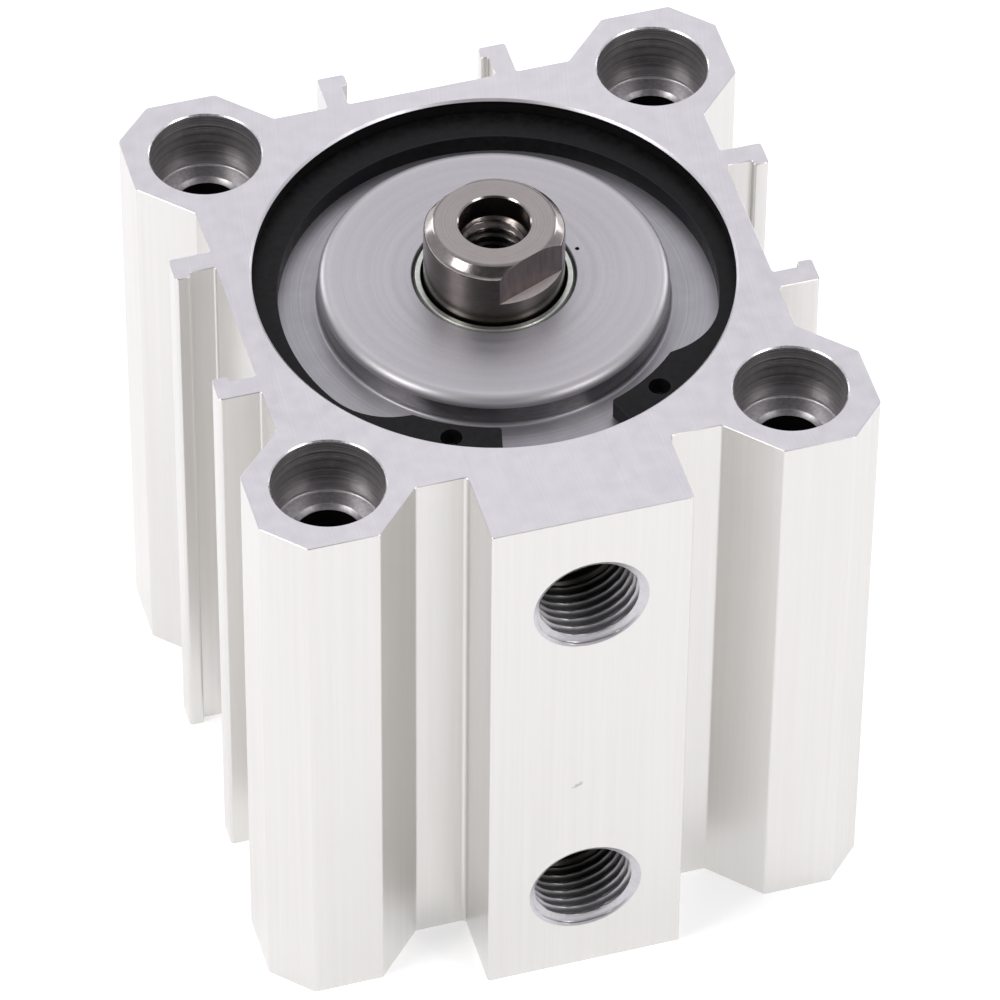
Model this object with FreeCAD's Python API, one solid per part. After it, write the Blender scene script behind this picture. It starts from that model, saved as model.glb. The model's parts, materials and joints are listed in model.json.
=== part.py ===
import FreeCAD, Part
import math
import os

# Short-stroke compact pneumatic cylinder, bore 40 mm, stroke 20 mm, magnetic piston.
# Frame: +Z is the direction in which the rod extends. The origin is the middle of the
# bore on the rear end face (z = 0). The two air ports face -Y. The model is drawn
# retracted, which is its rest position.
os.makedirs("parts", exist_ok=True)
V = FreeCAD.Vector

# ---------------------------------------------------------------- driving dimensions
# tube extrusion
tube_length = 57.0            # between the two milled end faces
bore_d = 40.0                 # running bore
seat_d = 41.0                 # seats of the two covers
lobe = 26.8                   # half width over the four corner lobes
lobe_chamfer = 3.3            # outer corner chamfer of a lobe
lobe_inner = 17.4             # where a lobe's outer flat ends
web = 22.6                    # half width over the webs between the lobes
lobe_foot = 13.2              # where a lobe's inner 45 degree flank meets the web
rail_side = 8.5               # outer flank of a switch rail hook, from the middle
rail_neck = 6.6               # inner flank of the hook's neck
rail_tip = 6.0                # tip of the hook's lip
rail_top = 26.25              # outer face of the rails
rail_lip = 24.9               # underside of the lip
block_half = 8.7              # half width of the port block
block_face = 29.7             # distance of the port face from the bore axis
front_web = 22.5              # recess floor beside the port block
hole_pitch = 40.0             # square pitch of the four mounting holes
hole_d = 5.8                  # through hole, clears an M5 screw
cbore_d = 9.6                 # counterbore for the screw head, both ends
cbore_depth = 6.0
cbore_chamfer = 0.12
hole_chamfer = 0.4
mouth_chamfer = 0.2           # lead-in at both bore mouths

# air ports, G1/8
port_r = 4.864                # major radius of the G1/8 thread
port_depth = 7.5
port_lead_r = 5.03            # lead-in chamfer at the port's mouth
port_z_front = 46.4
port_z_rear = 10.0
passage_d = 2.4               # drilled passage from port floor to the gallery
passage_z_front = 45.0
passage_z_rear = 8.45

# covers
seat_front = 47.5             # shoulder of the front seat
seat_rear = 7.2               # shoulder of the rear seat
flange_r = 20.44
nose_r = 18.0
cover_nose_z = 42.5           # inner end of the rod cover
ledge_z = 53.7                # outer face of the rod cover's flange
boss_r = 14.95                # raised boss of the rod cover
boss_round = 0.9
boss_z = 56.55
rear_nose_z = 9.7             # inner end of the rear cover
rear_ledge_z = 3.3            # outer face of the rear cover's flange
bush_or = 7.0
bush_ir = 6.03
bush_len = 8.0
rod_hole_r = 6.15
rod_seal_or = 9.0
rod_seal_z0, rod_seal_z1 = 44.0, 47.2

# retaining rings
ring_t = 1.75
ring_groove_r = 21.5
ring_groove_w = 1.85
ring_inner_r = 18.7
ring_offset = 1.15            # the section tapers towards the gap
ring_gap_half = 16.7          # degrees
ring_lug_r = 16.9
ring_lug_span = 42.5          # degrees from the gap's middle to the lug's far corner
ring_lug_root = 52.4
ring_root_r = 19.53
ring_blend_at, ring_blend_r = 63.0, 19.26   # where the lug's fillet has run out into the ring
ring_root_fillet = 6.4
ring_corner = 0.3
ring_eye_at, ring_eye_deg, ring_eye_r = 18.4, 30.0, 0.95
ring_gap_at = -87.1           # direction of the front ring's gap, degrees

# rod
rod_r = 6.0
rod_top = 62.7
rod_edge = 0.85               # chamfer of the rod's end, its corners rounded
flat_af = 10.0                # wrench flats
flat_z = 58.9
flat_turn = 22.0              # the flats' planes, degrees from +X
thread_r = 3.0                # M6
thread_depth = 12.9           # from the rod's end to the thread's last turn
thread_lead = 0.15            # chamfer at the thread's mouth; the first 2.3 mm are plain
spigot_r = 4.0                # M8 spigot through the piston

# piston
stroke = 20.0
end_play = 0.05
piston_r = 19.7
piston_z0, piston_split, piston_z1 = 10.7, 16.1, 21.5
seal_floor_r = 16.5
seal_w = 3.0
seal_z_rear = 11.6
seal_z_front = 17.6
seal_or = 19.98
wear_z0, wear_z1, wear_floor_r = 15.2, 17.0, 18.5
magnet_ir, magnet_or = 10.0, 14.5
magnet_z0, magnet_z1 = 14.1, 18.1
bumper_ir, bumper_or = 12.2, 15.0
bumper_seat = 1.2
nut_af = 13.0
nut_h = 4.0
nut_z0 = 10.0
nut_pocket_r = 8.6
nut_seat_z = 14.0
shoulder_z = 20.5


# ---------------------------------------------------------------- helpers
def cyl(r, z0, z1, x=0.0, y=0.0):
    return Part.makeCylinder(r, z1 - z0, V(x, y, z0), V(0, 0, 1))


def cone(r0, r1, z0, z1, x=0.0, y=0.0):
    return Part.makeCone(r0, r1, z1 - z0, V(x, y, z0), V(0, 0, 1))


def face_of(pts, put):
    # closed outline from (a, b, corner radius) rows; put maps (a, b) to a vector
    n = len(pts)
    ends = []
    for i in range(n):
        ax, ay, _ = pts[i - 1]
        bx, by, r = pts[i]
        cx, cy, _ = pts[(i + 1) % n]
        ux, uy = ax - bx, ay - by
        vx, vy = cx - bx, cy - by
        lu, lv = math.hypot(ux, uy), math.hypot(vx, vy)
        ux, uy, vx, vy = ux / lu, uy / lu, vx / lv, vy / lv
        if r <= 0:
            ends.append(((bx, by), (bx, by), None))
            continue
        half = math.acos(max(-1.0, min(1.0, ux * vx + uy * vy))) / 2.0
        t = r / math.tan(half)
        wx, wy = ux + vx, uy + vy
        lw = math.hypot(wx, wy)
        d = r / math.sin(half)
        mx, my = bx + wx / lw * (d - r), by + wy / lw * (d - r)
        ends.append(((bx + ux * t, by + uy * t), (bx + vx * t, by + vy * t), (mx, my)))
    edges = []
    for i in range(n):
        s, e, m = ends[i]
        if m is not None:
            edges.append(Part.Arc(put(*s), put(*m), put(*e)).toShape())
        nxt = ends[(i + 1) % n][0]
        if math.hypot(nxt[0] - e[0], nxt[1] - e[1]) > 1e-6:
            edges.append(Part.LineSegment(put(*e), put(*nxt)).toShape())
    return Part.Face(Part.Wire(edges))


def turned(pts):
    # solid of revolution about Z from (r, z, corner radius) rows
    return face_of(pts, lambda a, b: V(a, 0, b)).revolve(V(0, 0, 0), V(0, 0, 1), 360)


def prism(pts, z0, z1):
    return face_of(pts, lambda a, b: V(a, b, z0)).extrude(V(0, 0, z1 - z0))


def save(name, shape):
    if shape.ShapeType == "Compound" and len(shape.Solids) == 1:
        shape = shape.Solids[0]
    ok = shape.isValid() and len(shape.Solids) == 1
    print("%-22s solids %d valid %s volume %.1f" % (name, len(shape.Solids), ok, shape.Volume))
    shape.exportStep("parts/%s.step" % name)


# ---------------------------------------------------------------- tube
def side_rows():
    # one side of the profile, from the lobe's inner flank to the other lobe, drawn for
    # the +X side going +Y; rows are (across, along, corner radius)
    rows = [(lobe, -lobe_inner, 0.35), (web, -lobe_foot, 0.35)]
    rows += [(web, -rail_side, 0.2), (rail_top, -rail_side, 0.3), (rail_top, -rail_tip, 0.3),
             (rail_lip, -rail_tip, 0.25), (rail_lip, -rail_neck, 0.15), (web, -rail_neck, 0.25)]
    mirror = [(a, -b, r) for a, b, r in reversed(rows)]
    return rows + mirror


def port_side_rows():
    rows = [(lobe, -lobe_inner, 0.35), (front_web, -lobe_foot, 0.35),
            (front_web, -block_half, 0.4), (block_face, -block_half, 0.25)]
    mirror = [(a, -b, r) for a, b, r in reversed(rows)]
    return rows + mirror


corner = lobe - lobe_chamfer
outline = []
outline += [(a, b, r) for a, b, r in side_rows()]                       # +X side
outline += [(lobe, corner, 0.4), (corner, lobe, 0.4)]
outline += [(-b, a, r) for a, b, r in side_rows()]                      # +Y side
outline += [(-corner, lobe, 0.4), (-lobe, corner, 0.4)]
outline += [(-a, -b, r) for a, b, r in side_rows()]                     # -X side
outline += [(-lobe, -corner, 0.4), (-corner, -lobe, 0.4)]
outline += [(b, -a, r) for a, b, r in port_side_rows()]                 # -Y side
outline += [(corner, -lobe, 0.4), (lobe, -corner, 0.4)]
tube = prism(outline, 0.0, tube_length)

seat_r, bore_r = seat_d / 2.0, bore_d / 2.0
cuts = [cyl(bore_r, -1, tube_length + 1),
        cyl(seat_r, -1, seat_rear),
        cyl(seat_r, seat_front, tube_length + 1),
        cone(seat_r + mouth_chamfer, seat_r, 0.0, mouth_chamfer),
        cone(seat_r, seat_r + mouth_chamfer, tube_length - mouth_chamfer, tube_length),
        cyl(ring_groove_r, ledge_z, ledge_z + ring_groove_w),
        cyl(ring_groove_r, rear_ledge_z - ring_groove_w, rear_ledge_z)]
for sx in (-1, 1):
    for sy in (-1, 1):
        x, y = sx * hole_pitch / 2, sy * hole_pitch / 2
        hr, cr = hole_d / 2, cbore_d / 2
        cuts.append(cyl(hr, -1, tube_length + 1, x, y))
        cuts.append(cyl(cr, -1, cbore_depth, x, y))
        cuts.append(cyl(cr, tube_length - cbore_depth, tube_length + 1, x, y))
        cuts.append(cone(hr + hole_chamfer, hr, cbore_depth, cbore_depth + hole_chamfer, x, y))
        cuts.append(cone(hr, hr + hole_chamfer, tube_length - cbore_depth - hole_chamfer,
                         tube_length - cbore_depth, x, y))
        cuts.append(cone(cr + cbore_chamfer, cr, 0.0, cbore_chamfer, x, y))
        cuts.append(cone(cr, cr + cbore_chamfer, tube_length - cbore_chamfer, tube_length, x, y))
for zp, zd in ((port_z_front, passage_z_front), (port_z_rear, passage_z_rear)):
    cuts.append(Part.makeCylinder(port_r, port_depth + 1, V(0, -block_face - 1, zp), V(0, 1, 0)))
    lead = port_lead_r - port_r
    cuts.append(Part.makeCone(port_lead_r, port_r, lead, V(0, -block_face, zp), V(0, 1, 0)))
    # drill point at the port's floor and the passage on to the bore
    cuts.append(Part.makeCone(4.283, 0.6, 1.2, V(0, -block_face + port_depth, zp), V(0, 1, 0)))
    cuts.append(Part.makeCylinder(passage_d / 2, 12.0, V(0, -block_face + port_depth - 0.5, zd),
                                  V(0, 1, 0)))
for c in cuts:
    tube = tube.cut(c)
tube = tube.removeSplitter()
save("cylinder_tube", tube)

# ---------------------------------------------------------------- rod cover (front)
groove_r, groove_w = 19.05, 2.3
gz = 48.8
cover = turned([(rod_hole_r, cover_nose_z, 0.3), (nose_r, cover_nose_z, 0.6), (nose_r, seat_front, 0.0),
                (flange_r, seat_front, 0.2), (flange_r, gz, 0.1), (groove_r, gz, 0.15),
                (groove_r, gz + groove_w, 0.15), (flange_r, gz + groove_w, 0.1),
                (flange_r, ledge_z, 0.25), (boss_r, ledge_z, 0.35), (boss_r, boss_z, boss_round),
                (bush_or + 0.06, boss_z, 0.0), (bush_or, boss_z - 0.06, 0.0),
                (bush_or, boss_z - bush_len, 0.0), (rod_hole_r, boss_z - bush_len, 0.0),
                (rod_hole_r, rod_seal_z1, 0.0), (rod_seal_or, rod_seal_z1, 0.15),
                (rod_seal_or, rod_seal_z0, 0.15), (rod_hole_r, rod_seal_z0, 0.0)])
# small blind vent pit drilled in the boss face
cover = cover.cut(cyl(0.2, boss_z - 0.5, boss_z + 1, 7.6, 0.9))
save("rod_cover", cover)

save("rod_cover_oring", turned([(groove_r, gz + 0.15, 0.6), (seat_r, gz + 0.15, 0.6),
                                (seat_r, gz + groove_w - 0.15, 0.6),
                                (groove_r, gz + groove_w - 0.15, 0.6)]))

bush_z0 = boss_z - bush_len
save("rod_bushing", turned([(bush_ir, bush_z0 + 0.3, 0.0), (bush_ir + 0.3, bush_z0, 0.0),
                            (bush_or - 0.3, bush_z0, 0.0), (bush_or, bush_z0 + 0.3, 0.0),
                            (bush_or, boss_z - 0.6, 0.0), (bush_or - 0.33, boss_z - 0.05, 0.0),
                            (bush_ir + 0.2, boss_z - 0.05, 0.0), (bush_ir, boss_z - 0.35, 0.0)]))

# rod seal, a U-ring whose lips open towards the chamber
rs0, rs1 = rod_seal_z0 + 0.1, rod_seal_z1
save("rod_seal", turned([(6.03, rs0, 0.15), (7.1, rs0, 0.15), (7.5, rs0 + 1.5, 0.2),
                         (7.9, rs0, 0.15), (rod_seal_or, rs0, 0.15), (rod_seal_or, rs1, 0.2),
                         (6.35, rs1, 0.2), (6.12, rs0 + 1.2, 0.1)]))


# ---------------------------------------------------------------- retaining rings
def retaining_ring(z0, gap_at):
    ring = cyl(ring_groove_r, z0, z0 + ring_t)
    ring = ring.cut(cyl(ring_inner_r, z0 - 1, z0 + ring_t + 1, ring_offset, 0))

    def pol(r, deg):
        a = math.radians(deg)
        return (r * math.cos(a), r * math.sin(a))

    lugs = []
    for s in (1, -1):
        rows = [(20.6, ring_gap_half, 0.0), (ring_lug_r, ring_gap_half, ring_corner)]
        for k in range(1, 6):
            rows.append((ring_lug_r, ring_gap_half + (ring_lug_span - ring_gap_half) * k / 6.0, 0.0))
        rows += [(ring_lug_r, ring_lug_span, ring_corner), (ring_root_r, ring_lug_root, ring_root_fillet),
                 (ring_blend_r, ring_blend_at, 0.0), (20.6, ring_blend_at, 0.0)]
        pts = []
        for r, d, rad in rows:
            x, y = pol(r, d)
            pts.append((x, s * y, rad))
        if s < 0:
            pts.reverse()
        lug = prism(pts, z0, z0 + ring_t)
        lugs.append(lug)
    big = 40.0
    gx, gy = pol(big, ring_gap_half)
    wedge = prism([(0, 0, 0), (gx, -gy, 0), (gx, gy, 0)], z0 - 1, z0 + ring_t + 1)
    ring = ring.cut(wedge)
    for lug in lugs:
        ring = ring.fuse(lug)
    hx, hy = pol(ring_eye_at, ring_eye_deg)
    for s in (1, -1):
        ring = ring.cut(cyl(ring_eye_r, z0 - 1, z0 + ring_t + 1, hx, s * hy))
    ring = ring.removeSplitter()
    ring.rotate(V(0, 0, 0), V(0, 0, 1), gap_at)
    return ring


save("front_retaining_ring", retaining_ring(ledge_z, ring_gap_at))
save("rear_retaining_ring", retaining_ring(rear_ledge_z - ring_t, -62.0))

# ---------------------------------------------------------------- rear cover
rgz, rgw, rgr = 4.5, 1.9, 19.3
rear = turned([(0, rear_ledge_z + 0.6, 0.0), (12.0, rear_ledge_z + 0.6, 0.3), (12.6, rear_ledge_z, 0.2),
               (flange_r, rear_ledge_z, 0.25), (flange_r, rgz, 0.1), (rgr, rgz, 0.15),
               (rgr, rgz + rgw, 0.15), (flange_r, rgz + rgw, 0.1), (flange_r, seat_rear, 0.2),
               (nose_r, seat_rear, 0.0), (nose_r, rear_nose_z, 0.5), (10.0, rear_nose_z, 0.2),
               (10.0, rear_nose_z - 1.5, 0.2), (0, rear_nose_z - 1.5, 0.0)])
rear = rear.cut(cone(1.6, 0.0, rear_ledge_z + 0.6, rear_ledge_z + 1.9))
save("rear_cover", rear)
save("rear_cover_oring", turned([(rgr, rgz + 0.1, 0.5), (seat_r, rgz + 0.1, 0.5),
                                 (seat_r, rgz + rgw - 0.1, 0.5), (rgr, rgz + rgw - 0.1, 0.5)]))

# ---------------------------------------------------------------- piston rod
tb = rod_top - thread_depth
rod = turned([(0, nut_z0 - 0.1, 0.0), (spigot_r - 0.6, nut_z0 - 0.1, 0.0), (spigot_r, nut_z0 + 0.5, 0.0),
              (spigot_r, shoulder_z, 0.0), (rod_r - 0.3, shoulder_z, 0.0), (rod_r, shoulder_z + 0.3, 0.0),
              (rod_r, rod_top - rod_edge, 0.7), (rod_r - rod_edge, rod_top, 0.6),
              (thread_r + thread_lead, rod_top, 0.0), (thread_r, rod_top - thread_lead, 0.0), (thread_r, tb, 0.0),
              (0, tb - 1.5, 0.0)])
for s in (1, -1):
    slab = Part.makeBox(30, 10, rod_top - flat_z + 5, V(-15, flat_af / 2.0, flat_z))
    slab.rotate(V(0, 0, 0), V(0, 0, 1), flat_turn + (0 if s > 0 else 180))
    rod = rod.cut(slab)
save("piston_rod", rod)

# ---------------------------------------------------------------- piston
front = turned([(spigot_r, piston_split, 0.0), (magnet_ir, piston_split, 0.0),
                (magnet_ir, magnet_z1, 0.0), (magnet_or, magnet_z1, 0.0), (magnet_or, piston_split, 0.0),
                (wear_floor_r, piston_split, 0.0), (wear_floor_r, wear_z1, 0.1), (piston_r, wear_z1, 0.1),
                (piston_r, seal_z_front, 0.1), (seal_floor_r, seal_z_front, 0.2),
                (seal_floor_r, seal_z_front + seal_w, 0.2), (piston_r, seal_z_front + seal_w, 0.1),
                (piston_r, piston_z1, 0.3), (bumper_or, piston_z1, 0.0),
                (bumper_or, piston_z1 - bumper_seat, 0.1), (bumper_ir, piston_z1 - bumper_seat, 0.1),
                (bumper_ir, piston_z1, 0.0), (rod_r, piston_z1, 0.0), (rod_r, shoulder_z, 0.0),
                (spigot_r, shoulder_z, 0.0), (spigot_r, 19.9, 0.0), (5.3, 19.9, 0.1), (5.3, 18.5, 0.1),
                (spigot_r, 18.5, 0.0)])
save("piston_front", front)

rear_half = turned([(spigot_r, nut_seat_z, 0.0), (nut_pocket_r, nut_seat_z, 0.2),
                    (nut_pocket_r, piston_z0, 0.2), (bumper_ir, piston_z0, 0.0),
                    (bumper_ir, piston_z0 + bumper_seat, 0.1), (bumper_or, piston_z0 + bumper_seat, 0.1),
                    (bumper_or, piston_z0, 0.0), (piston_r, piston_z0, 0.3), (piston_r, seal_z_rear, 0.1),
                    (seal_floor_r, seal_z_rear, 0.2), (seal_floor_r, seal_z_rear + seal_w, 0.2),
                    (piston_r, seal_z_rear + seal_w, 0.1), (piston_r, wear_z0, 0.1),
                    (wear_floor_r, wear_z0, 0.1), (wear_floor_r, piston_split, 0.0),
                    (magnet_or, piston_split, 0.0), (magnet_or, magnet_z0, 0.0),
                    (magnet_ir, magnet_z0, 0.0), (magnet_ir, piston_split, 0.0),
                    (spigot_r, piston_split, 0.0)])
save("piston_rear", rear_half)

save("piston_magnet", turned([(magnet_ir, magnet_z0, 0.2), (magnet_or, magnet_z0, 0.2),
                              (magnet_or, magnet_z1, 0.2), (magnet_ir, magnet_z1, 0.2)]))


# piston seals: lip rings whose lips lean towards the pressure side
def piston_seal(z0, up):
    rows = [(seal_floor_r + 0.05, 0.1, 0.2), (18.6, 0.1, 0.3), (19.3, 0.6, 0.3), (19.3, 1.7, 0.3),
            (seal_or, 2.5, 0.1), (seal_or - 0.25, seal_w - 0.1, 0.1), (18.9, seal_w - 0.25, 0.1),
            (18.0, 1.9, 0.3), (17.5, seal_w - 0.1, 0.15), (seal_floor_r + 0.05, seal_w - 0.1, 0.15)]
    if up:
        return turned([(r, z0 + z, c) for r, z, c in rows])
    return turned([(r, z0 + seal_w - z, c) for r, z, c in reversed(rows)])


save("piston_seal_front", piston_seal(seal_z_front, True))
save("piston_seal_rear", piston_seal(seal_z_rear, False))

# split wear ring between the seals
wear = turned([(wear_floor_r + 0.05, wear_z0 + 0.08, 0.1), (seal_or - 0.01, wear_z0 + 0.08, 0.15),
               (seal_or - 0.01, wear_z1 - 0.08, 0.15), (wear_floor_r + 0.05, wear_z1 - 0.08, 0.1)])
slit = Part.makeBox(6.0, 0.6, 6.0, V(16.5, -0.3, wear_z0 - 2))
slit.rotate(V(19.2, 0, (wear_z0 + wear_z1) / 2), V(1, 0, 0), 30)
save("wear_ring", wear.cut(slit))

save("piston_rod_oring", turned([(spigot_r, 18.55, 0.45), (5.3, 18.55, 0.45), (5.3, 19.85, 0.45),
                                 (spigot_r, 19.85, 0.45)]))

# thin hexagon nut, both faces chamfered to the across-corners circle
hexr = nut_af / 2.0 / math.cos(math.radians(30))
hexa = [(hexr * math.cos(math.radians(60 * k)), hexr * math.sin(math.radians(60 * k)), 0.0)
        for k in range(6)]
nut = prism(hexa, nut_z0, nut_z0 + nut_h)
limit = turned([(0, nut_z0, 0.0), (nut_af / 2.0 - 0.1, nut_z0, 0.0), (hexr + 0.6, nut_z0 + 0.9, 0.0),
                (hexr + 0.6, nut_z0 + nut_h - 0.9, 0.0), (nut_af / 2.0 - 0.1, nut_z0 + nut_h, 0.0),
                (0, nut_z0 + nut_h, 0.0)])
save("piston_nut", nut.common(limit).cut(cyl(spigot_r, nut_z0 - 1, nut_z0 + nut_h + 1)))

# rubber end-stop rings let into both faces of the piston
top = piston_z1 + 1.0 - end_play
save("front_bumper", turned([(bumper_ir, piston_z1 - bumper_seat, 0.1), (bumper_or, piston_z1 - bumper_seat, 0.1),
                             (bumper_or, piston_z1, 0.0), (bumper_or - 0.15, top, 0.35),
                             (bumper_ir + 0.15, top, 0.35), (bumper_ir, piston_z1, 0.0)]))
bot = piston_z0 - 1.0 + end_play
save("rear_bumper", turned([(bumper_ir, piston_z0 + bumper_seat, 0.1), (bumper_ir, piston_z0, 0.0),
                            (bumper_ir + 0.15, bot, 0.35), (bumper_or - 0.15, bot, 0.35),
                            (bumper_or, piston_z0, 0.0), (bumper_or, piston_z0 + bumper_seat, 0.1)]))
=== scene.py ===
import json
import math

import bmesh
import bpy
import numpy as np
from mathutils import Matrix, Vector


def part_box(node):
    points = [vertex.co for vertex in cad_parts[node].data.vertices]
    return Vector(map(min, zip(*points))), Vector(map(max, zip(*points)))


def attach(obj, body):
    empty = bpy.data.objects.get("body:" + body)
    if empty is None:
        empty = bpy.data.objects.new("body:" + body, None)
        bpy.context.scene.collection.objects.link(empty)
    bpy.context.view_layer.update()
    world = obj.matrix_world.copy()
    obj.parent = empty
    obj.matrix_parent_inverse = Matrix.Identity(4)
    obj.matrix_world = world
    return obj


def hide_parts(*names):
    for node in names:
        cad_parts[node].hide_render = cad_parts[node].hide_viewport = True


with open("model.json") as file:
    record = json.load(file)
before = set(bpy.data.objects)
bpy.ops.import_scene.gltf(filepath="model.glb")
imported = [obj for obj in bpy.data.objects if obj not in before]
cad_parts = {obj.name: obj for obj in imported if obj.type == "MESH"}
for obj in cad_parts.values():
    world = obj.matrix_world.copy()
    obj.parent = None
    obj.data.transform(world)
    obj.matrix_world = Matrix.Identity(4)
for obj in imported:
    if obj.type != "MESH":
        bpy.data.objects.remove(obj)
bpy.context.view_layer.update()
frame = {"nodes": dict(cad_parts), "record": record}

MM = 0.001
NODES = frame["nodes"]
MOUNTS = {m["name"]: m for m in frame["record"]["mounts"]}


def box_mm(node):
    lo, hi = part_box(node)
    return [c / MM for c in lo], [c / MM for c in hi]


# ------------------------------------------------------------------ sizes, in millimetres
TUBE_LO, TUBE_HI = box_mm("cylinder_tube")
LENGTH = TUBE_HI[2]
LOBE = TUBE_HI[0]
BLOCK_FACE = -TUBE_LO[1]
LOBE_CHAMFER, LOBE_INNER, LOBE_FOOT = 3.3, 17.4, 13.2
WEB, FRONT_WEB, BLOCK_HALF = 22.6, 22.5, 8.7
RAIL_SIDE, RAIL_NECK, RAIL_TIP, RAIL_TOP, RAIL_LIP = 8.5, 6.6, 6.0, 26.25, 24.9
PITCH = MOUNTS["front_screw_holes"]["dims"]["spacing_x_mm"]
HOLE_R = MOUNTS["front_screw_holes"]["dims"]["hole_r_mm"]
CBORE_R = MOUNTS["front_counterbores"]["dims"]["hole_r_mm"]
CBORE_DEPTH = 6.0
SEAT_R, BORE_R = 20.5, 20.0
LEDGE = box_mm("front_retaining_ring")[0][2]
REAR_LEDGE = box_mm("rear_retaining_ring")[1][2]
RING_T = box_mm("front_retaining_ring")[1][2] - LEDGE
RING_R = 21.5
PORTS = [MOUNTS["port_rod_side"], MOUNTS["port_cap_side"]]
ROD_TOP = box_mm("piston_rod")[1][2]
ROD_BOTTOM = box_mm("piston_rod")[0][2]
BOSS_Z = box_mm("rod_cover")[1][2]


# ------------------------------------------------------------------ mesh helpers
def rounded(rows, n=5, closed=True):
    """Closed outline from (a, b, corner radius) rows, each corner an arc of n steps."""
    out = []
    count = len(rows)
    for i, (bx, by, r) in enumerate(rows):
        ax, ay, _ = rows[i - 1]
        cx, cy, _ = rows[(i + 1) % count]
        if r <= 0:
            out.append((bx, by))
            continue
        ux, uy, vx, vy = ax - bx, ay - by, cx - bx, cy - by
        lu, lv = math.hypot(ux, uy), math.hypot(vx, vy)
        ux, uy, vx, vy = ux / lu, uy / lu, vx / lv, vy / lv
        half = math.acos(max(-1.0, min(1.0, ux * vx + uy * vy))) / 2
        t, d = r / math.tan(half), r / math.sin(half)
        wx, wy = ux + vx, uy + vy
        lw = math.hypot(wx, wy)
        ox, oy = bx + wx / lw * d, by + wy / lw * d
        a0 = math.atan2(by + uy * t - oy, bx + ux * t - ox)
        a1 = math.atan2(by + vy * t - oy, bx + vx * t - ox)
        da = (a1 - a0 + math.pi) % (2 * math.pi) - math.pi
        for k in range(n + 1):
            a = a0 + da * k / n
            out.append((ox + r * math.cos(a), oy + r * math.sin(a)))
    clean = []
    for p in out:
        if not clean or math.hypot(p[0] - clean[-1][0], p[1] - clean[-1][1]) > 1e-5:
            clean.append(p)
    if math.hypot(clean[0][0] - clean[-1][0], clean[0][1] - clean[-1][1]) < 1e-5:
        clean.pop()
    return clean


def inset(loop, d):
    """A counter-clockwise loop moved inward by d."""
    out = []
    n = len(loop)
    for i in range(n):
        a, b, c = loop[i - 1], loop[i], loop[(i + 1) % n]
        e1 = Vector((b[0] - a[0], b[1] - a[1])).normalized()
        e2 = Vector((c[0] - b[0], c[1] - b[1])).normalized()
        n1, n2 = Vector((-e1.y, e1.x)), Vector((-e2.y, e2.x))
        m = (n1 + n2) / (1.0 + n1.dot(n2)) * d
        out.append((b[0] + m.x, b[1] + m.y))
    return out


def new_object(name, bm):
    bmesh.ops.recalc_face_normals(bm, faces=bm.faces)
    mesh = bpy.data.meshes.new(name)
    bm.to_mesh(mesh)
    bm.free()
    o = bpy.data.objects.new(name, mesh)
    bpy.context.scene.collection.objects.link(o)
    return o


def layers(name, rings):
    """A prism from (loop, z) rings with equal counts, capped at both ends; millimetres in."""
    bm = bmesh.new()
    rows = [[bm.verts.new((x * MM, y * MM, z * MM)) for x, y in loop] for loop, z in rings]
    n = len(rows[0])
    for a, b in zip(rows, rows[1:]):
        for i in range(n):
            j = (i + 1) % n
            bm.faces.new((a[i], a[j], b[j], b[i]))
    bm.faces.new(list(reversed(rows[0])))
    bm.faces.new(rows[-1])
    return new_object(name, bm)


def turned(name, prof, seg=192):
    """Solid of revolution about Z from a closed (r, z) outline."""
    bm = bmesh.new()
    cs = [(math.cos(2 * math.pi * k / seg), math.sin(2 * math.pi * k / seg)) for k in range(seg)]
    rows = []
    for r, z in prof:
        if r < 1e-6:
            rows.append([bm.verts.new((0, 0, z * MM))])
        else:
            rows.append([bm.verts.new((r * c * MM, r * s * MM, z * MM)) for c, s in cs])
    n = len(rows)
    for i in range(n):
        a, b = rows[i], rows[(i + 1) % n]
        if len(a) == 1 and len(b) == 1:
            continue
        for k in range(seg):
            j = (k + 1) % seg
            if len(a) == 1:
                bm.faces.new((a[0], b[j], b[k]))
            elif len(b) == 1:
                bm.faces.new((a[k], a[j], b[0]))
            else:
                bm.faces.new((a[k], a[j], b[j], b[k]))
    return new_object(name, bm)


def field(name, ts, radius, seg=96):
    """Closed solid along Z whose radius is radius(t, angle) at each station t."""
    bm = bmesh.new()
    rows = []
    for t in ts:
        rows.append([bm.verts.new((radius(t, a) * math.cos(a) * MM, radius(t, a) * math.sin(a) * MM, t * MM))
                     for a in (2 * math.pi * k / seg for k in range(seg))])
    for a, b in zip(rows, rows[1:]):
        for k in range(seg):
            j = (k + 1) % seg
            bm.faces.new((a[k], a[j], b[j], b[k]))
    bm.faces.new(list(reversed(rows[0])))
    bm.faces.new(rows[-1])
    return new_object(name, bm)


def cut(target, *cutters, solver="EXACT", operation="DIFFERENCE"):
    for c in cutters:
        m = target.modifiers.new("cut", "BOOLEAN")
        m.operation = operation
        m.solver = solver
        m.object = c
        bake_modifiers(target)
        mesh = c.data
        bpy.data.objects.remove(c)
        bpy.data.meshes.remove(mesh)
    return target


def bake_modifiers(o):
    deps = bpy.context.evaluated_depsgraph_get()
    deps.update()
    mesh = bpy.data.meshes.new_from_object(o.evaluated_get(deps))
    old = o.data
    o.modifiers.clear()
    o.data = mesh
    bpy.data.meshes.remove(old)
    return o


def bevel(o, width, segments=2, angle=30):
    m = o.modifiers.new("edge", "BEVEL")
    m.width = width * MM
    m.segments = segments
    m.limit_method = "ANGLE"
    m.angle_limit = math.radians(angle)
    m.use_clamp_overlap = True
    m.harden_normals = False
    return bake_modifiers(o)


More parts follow.
